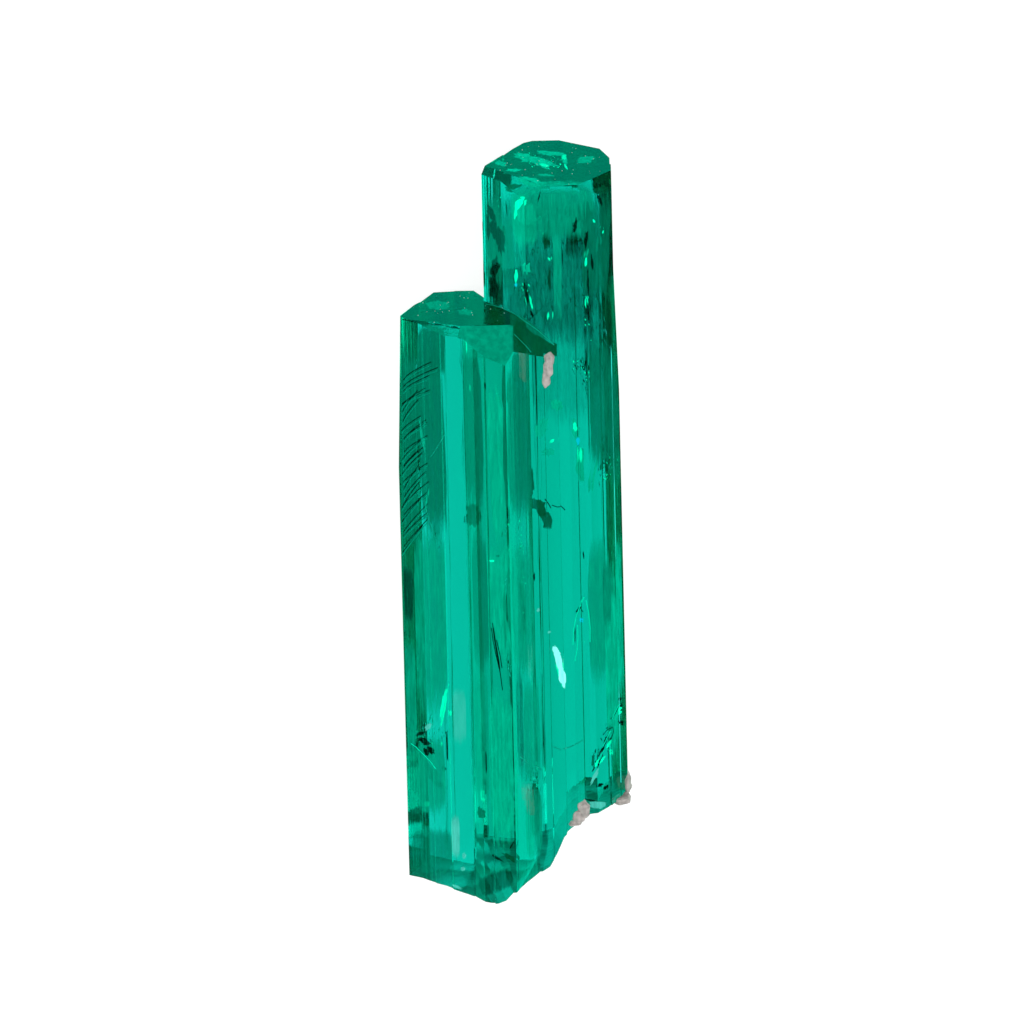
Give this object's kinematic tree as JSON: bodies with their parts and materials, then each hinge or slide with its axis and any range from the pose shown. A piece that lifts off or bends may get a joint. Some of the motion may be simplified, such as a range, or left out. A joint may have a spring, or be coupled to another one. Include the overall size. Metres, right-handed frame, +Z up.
{
  "type": "emerald crystal group",
  "caption": "Long six-sided clear green crystals grown side by side, flat ended, with a broken foot and crumbs of pale rock, lying on its back.",
  "frame": {"origin": "on the surface it lies on, at the middle of the bounding box in X and Y", "axes": "+Y along the crystals' long axis towards their flat ends, +Z up from the surface, +X from the short crystal towards the tall one"},
  "size_m": [0.0078, 0.0276, 0.0046],
  "materials": {
    "emerald": "clear bluish green crystal with natural inclusions and glossy growth faces",
    "calcite": "pale pinkish grey, matt and granular"
  },
  "bodies": {
    "root": {"emerald_crystals": "emerald", "calcite_patch": "calcite", "calcite_foot": "calcite", "calcite_rim": "calcite"}
  },
  "joints": []
}
